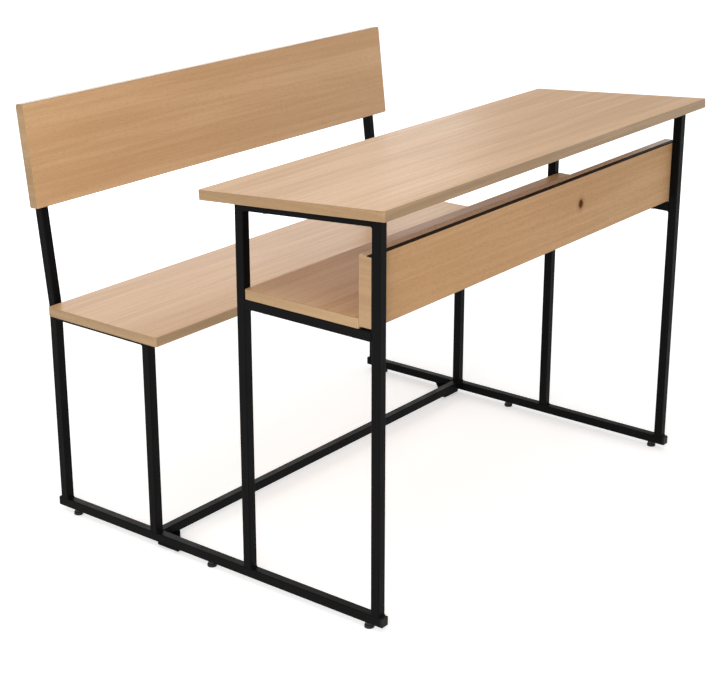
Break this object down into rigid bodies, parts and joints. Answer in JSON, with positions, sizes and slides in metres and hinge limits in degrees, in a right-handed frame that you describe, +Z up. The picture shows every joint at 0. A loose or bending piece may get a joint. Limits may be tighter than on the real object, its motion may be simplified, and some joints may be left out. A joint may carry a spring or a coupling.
{
  "type": "school bench desk",
  "caption": "School bench desk: sloped beech-look desktop, book shelf with front panel, attached seat and leaning backrest on black square-tube frames with levelling feet.",
  "frame": {"origin": "on the floor, under the middle of the desk's overall box", "axes": "+X along the boards, +Y from the front panel to the backrest, +Z up"},
  "size_m": [1.07, 0.8647, 0.8205],
  "materials": {
    "frame_black": "satin black powder coat",
    "board_beech": "satin beech-look laminate",
    "band_beech": "satin wood-look edge band",
    "strip_dark": "dark brown edge strip",
    "fastener_steel": "zinc plated",
    "screw_black": "blackened steel",
    "plug_black": "moulded, matt",
    "foot_black": "moulded, matt"
  },
  "bodies": {
    "frame": {"backrest_board": "board_beech", "backrest_edge_band": "band_beech", "backrest_screws": "fastener_steel", "book_shelf_board": "board_beech", "book_shelf_edge_band": "band_beech", "corner_plate_bolts": "fastener_steel", "cross_stretcher": "frame_black", "desktop_board": "board_beech", "desktop_edge_band": "band_beech", "desktop_screws": "fastener_steel", "foot_inserts": "screw_black", "front_panel_board": "board_beech", "front_panel_edge_band": "band_beech", "front_panel_top_strip": "strip_dark", "left_back_post": "frame_black", "left_base_rail": "frame_black", "left_corner_plate": "frame_black", "left_front_leg": "frame_black", "left_rear_leg": "frame_black", "left_seat_leg": "frame_black", "left_seat_rail": "frame_black", "left_shelf_rail": "frame_black", "left_top_rail": "frame_black", "panel_screws": "fastener_steel", "post_top_plugs": "plug_black", "rail_end_plugs": "plug_black", "right_back_post": "frame_black", "right_base_rail": "frame_black", "right_corner_plate": "frame_black", "right_front_leg": "frame_black", "right_rear_leg": "frame_black", "right_seat_leg": "frame_black", "right_seat_rail": "frame_black", "right_shelf_rail": "frame_black", "right_top_rail": "frame_black", "seat_board": "board_beech", "seat_edge_band": "band_beech", "seat_screws": "fastener_steel", "shelf_screws": "fastener_steel"},
    "left_front_pad": {"left_front_foot_pad": "foot_black"},
    "left_front_screw": {"left_front_foot_screw": "screw_black"},
    "left_middle_pad": {"left_middle_foot_pad": "foot_black"},
    "left_middle_screw": {"left_middle_foot_screw": "screw_black"},
    "left_rear_pad": {"left_rear_foot_pad": "foot_black"},
    "left_rear_screw": {"left_rear_foot_screw": "screw_black"},
    "right_front_pad": {"right_front_foot_pad": "foot_black"},
    "right_front_screw": {"right_front_foot_screw": "screw_black"},
    "right_middle_pad": {"right_middle_foot_pad": "foot_black"},
    "right_middle_screw": {"right_middle_foot_screw": "screw_black"},
    "right_rear_pad": {"right_rear_foot_pad": "foot_black"},
    "right_rear_screw": {"right_rear_foot_screw": "screw_black"}
  },
  "joints": [
    {"name": "left_front_foot_travel", "type": "slide", "parent": "frame", "child": "left_front_pad", "axis": [0, 0, -1], "range_m": [0, 0.008]},
    {"name": "left_front_foot_turn", "type": "hinge", "parent": "left_front_pad", "child": "left_front_screw", "pos_m": [-0.499, -0.376, 0.006], "axis": [0, 0, -1], "range_deg": [0, 2300.4]},
    {"name": "left_middle_foot_travel", "type": "slide", "parent": "frame", "child": "left_middle_pad", "axis": [0, 0, -1], "range_m": [0, 0.008]},
    {"name": "left_middle_foot_turn", "type": "hinge", "parent": "left_middle_pad", "child": "left_middle_screw", "pos_m": [-0.499, -0.007, 0.006], "axis": [0, 0, -1], "range_deg": [0, 2300.4]},
    {"name": "left_rear_foot_travel", "type": "slide", "parent": "frame", "child": "left_rear_pad", "axis": [0, 0, -1], "range_m": [0, 0.008]},
    {"name": "left_rear_foot_turn", "type": "hinge", "parent": "left_rear_pad", "child": "left_rear_screw", "pos_m": [-0.499, 0.351, 0.006], "axis": [0, 0, -1], "range_deg": [0, 2300.4]},
    {"name": "right_front_foot_travel", "type": "slide", "parent": "frame", "child": "right_front_pad", "axis": [0, 0, -1], "range_m": [0, 0.008]},
    {"name": "right_front_foot_turn", "type": "hinge", "parent": "right_front_pad", "child": "right_front_screw", "pos_m": [0.499, -0.376, 0.006], "axis": [0, 0, -1], "range_deg": [0, 2300.4]},
    {"name": "right_middle_foot_travel", "type": "slide", "parent": "frame", "child": "right_middle_pad", "axis": [0, 0, -1], "range_m": [0, 0.008]},
    {"name": "right_middle_foot_turn", "type": "hinge", "parent": "right_middle_pad", "child": "right_middle_screw", "pos_m": [0.499, -0.007, 0.006], "axis": [0, 0, -1], "range_deg": [0, 2300.4]},
    {"name": "right_rear_foot_travel", "type": "slide", "parent": "frame", "child": "right_rear_pad", "axis": [0, 0, -1], "range_m": [0, 0.008]},
    {"name": "right_rear_foot_turn", "type": "hinge", "parent": "right_rear_pad", "child": "right_rear_screw", "pos_m": [0.499, 0.351, 0.006], "axis": [0, 0, -1], "range_deg": [0, 2300.4]}
  ],
  "couplings": [
    {"joint": "left_front_foot_travel", "follows": "left_front_foot_turn", "m_per_rad": 0.00019894},
    {"joint": "left_middle_foot_travel", "follows": "left_middle_foot_turn", "m_per_rad": 0.00019894},
    {"joint": "left_rear_foot_travel", "follows": "left_rear_foot_turn", "m_per_rad": 0.00019894},
    {"joint": "right_front_foot_travel", "follows": "right_front_foot_turn", "m_per_rad": 0.00019894},
    {"joint": "right_middle_foot_travel", "follows": "right_middle_foot_turn", "m_per_rad": 0.00019894},
    {"joint": "right_rear_foot_travel", "follows": "right_rear_foot_turn", "m_per_rad": 0.00019894}
  ]
}
